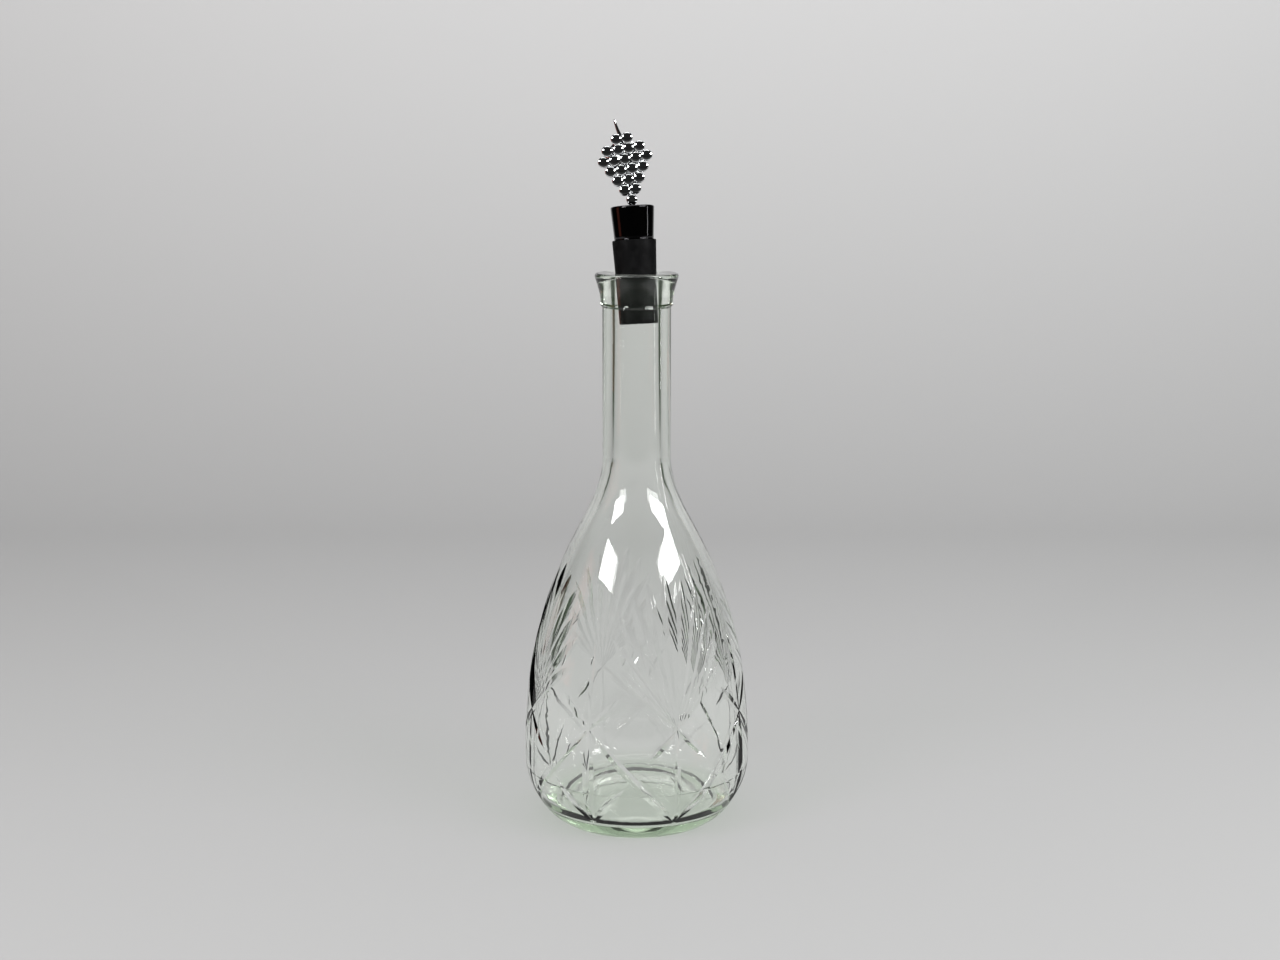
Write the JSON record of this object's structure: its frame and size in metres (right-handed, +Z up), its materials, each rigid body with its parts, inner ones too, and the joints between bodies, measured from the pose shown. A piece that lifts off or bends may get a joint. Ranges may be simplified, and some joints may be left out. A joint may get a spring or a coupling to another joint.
{
  "type": "decanter",
  "caption": "Tall pressed-glass decanter with a flared collar and a star and fan pattern, and a loose rubber stopper with a metal cap and a cast grape bunch, leaning in its mouth.",
  "frame": {"origin": "centre of the ring that the glass stands on", "axes": "+Z up along the neck, -Y the side that the grape bunch faces"},
  "size_m": [0.1144, 0.1144, 0.3485],
  "materials": {
    "glass": "clear pressed glass with a faint green tint",
    "rubber": "matte black",
    "dark_chrome": "polished black chrome",
    "bright_chrome": "polished chrome"
  },
  "bodies": {
    "root": {"decanter_glass": "glass", "stopper_plug": "rubber", "stopper_cap": "dark_chrome", "grape_cluster": "bright_chrome"}
  },
  "joints": []
}
